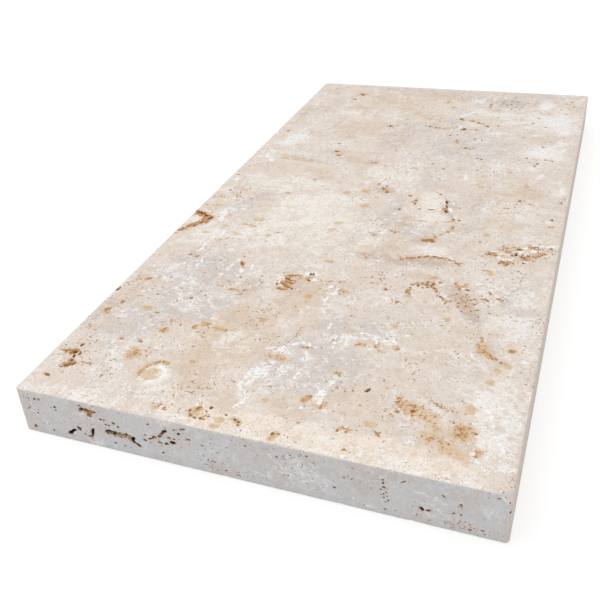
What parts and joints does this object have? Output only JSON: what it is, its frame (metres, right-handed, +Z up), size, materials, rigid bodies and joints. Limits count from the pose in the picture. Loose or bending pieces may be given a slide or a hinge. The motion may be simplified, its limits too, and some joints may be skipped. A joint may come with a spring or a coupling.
{
  "type": "pool coping slab",
  "caption": "Rectangular travertine coping slab with square, worn edges, open natural voids and a broken top corner; laid flat it caps the rim of a pool.",
  "frame": {"origin": "middle of the sawn bed that the slab lies on", "axes": "+X across the slab to its right side, +Y along its length away from the end with the voids, +Z up to the worn top"},
  "size_m": [0.3048, 0.6096, 0.035],
  "materials": {
    "travertine": "sawn and tumbled, unpolished, with open voids"
  },
  "bodies": {
    "root": {"coping_slab": "travertine"}
  },
  "joints": []
}
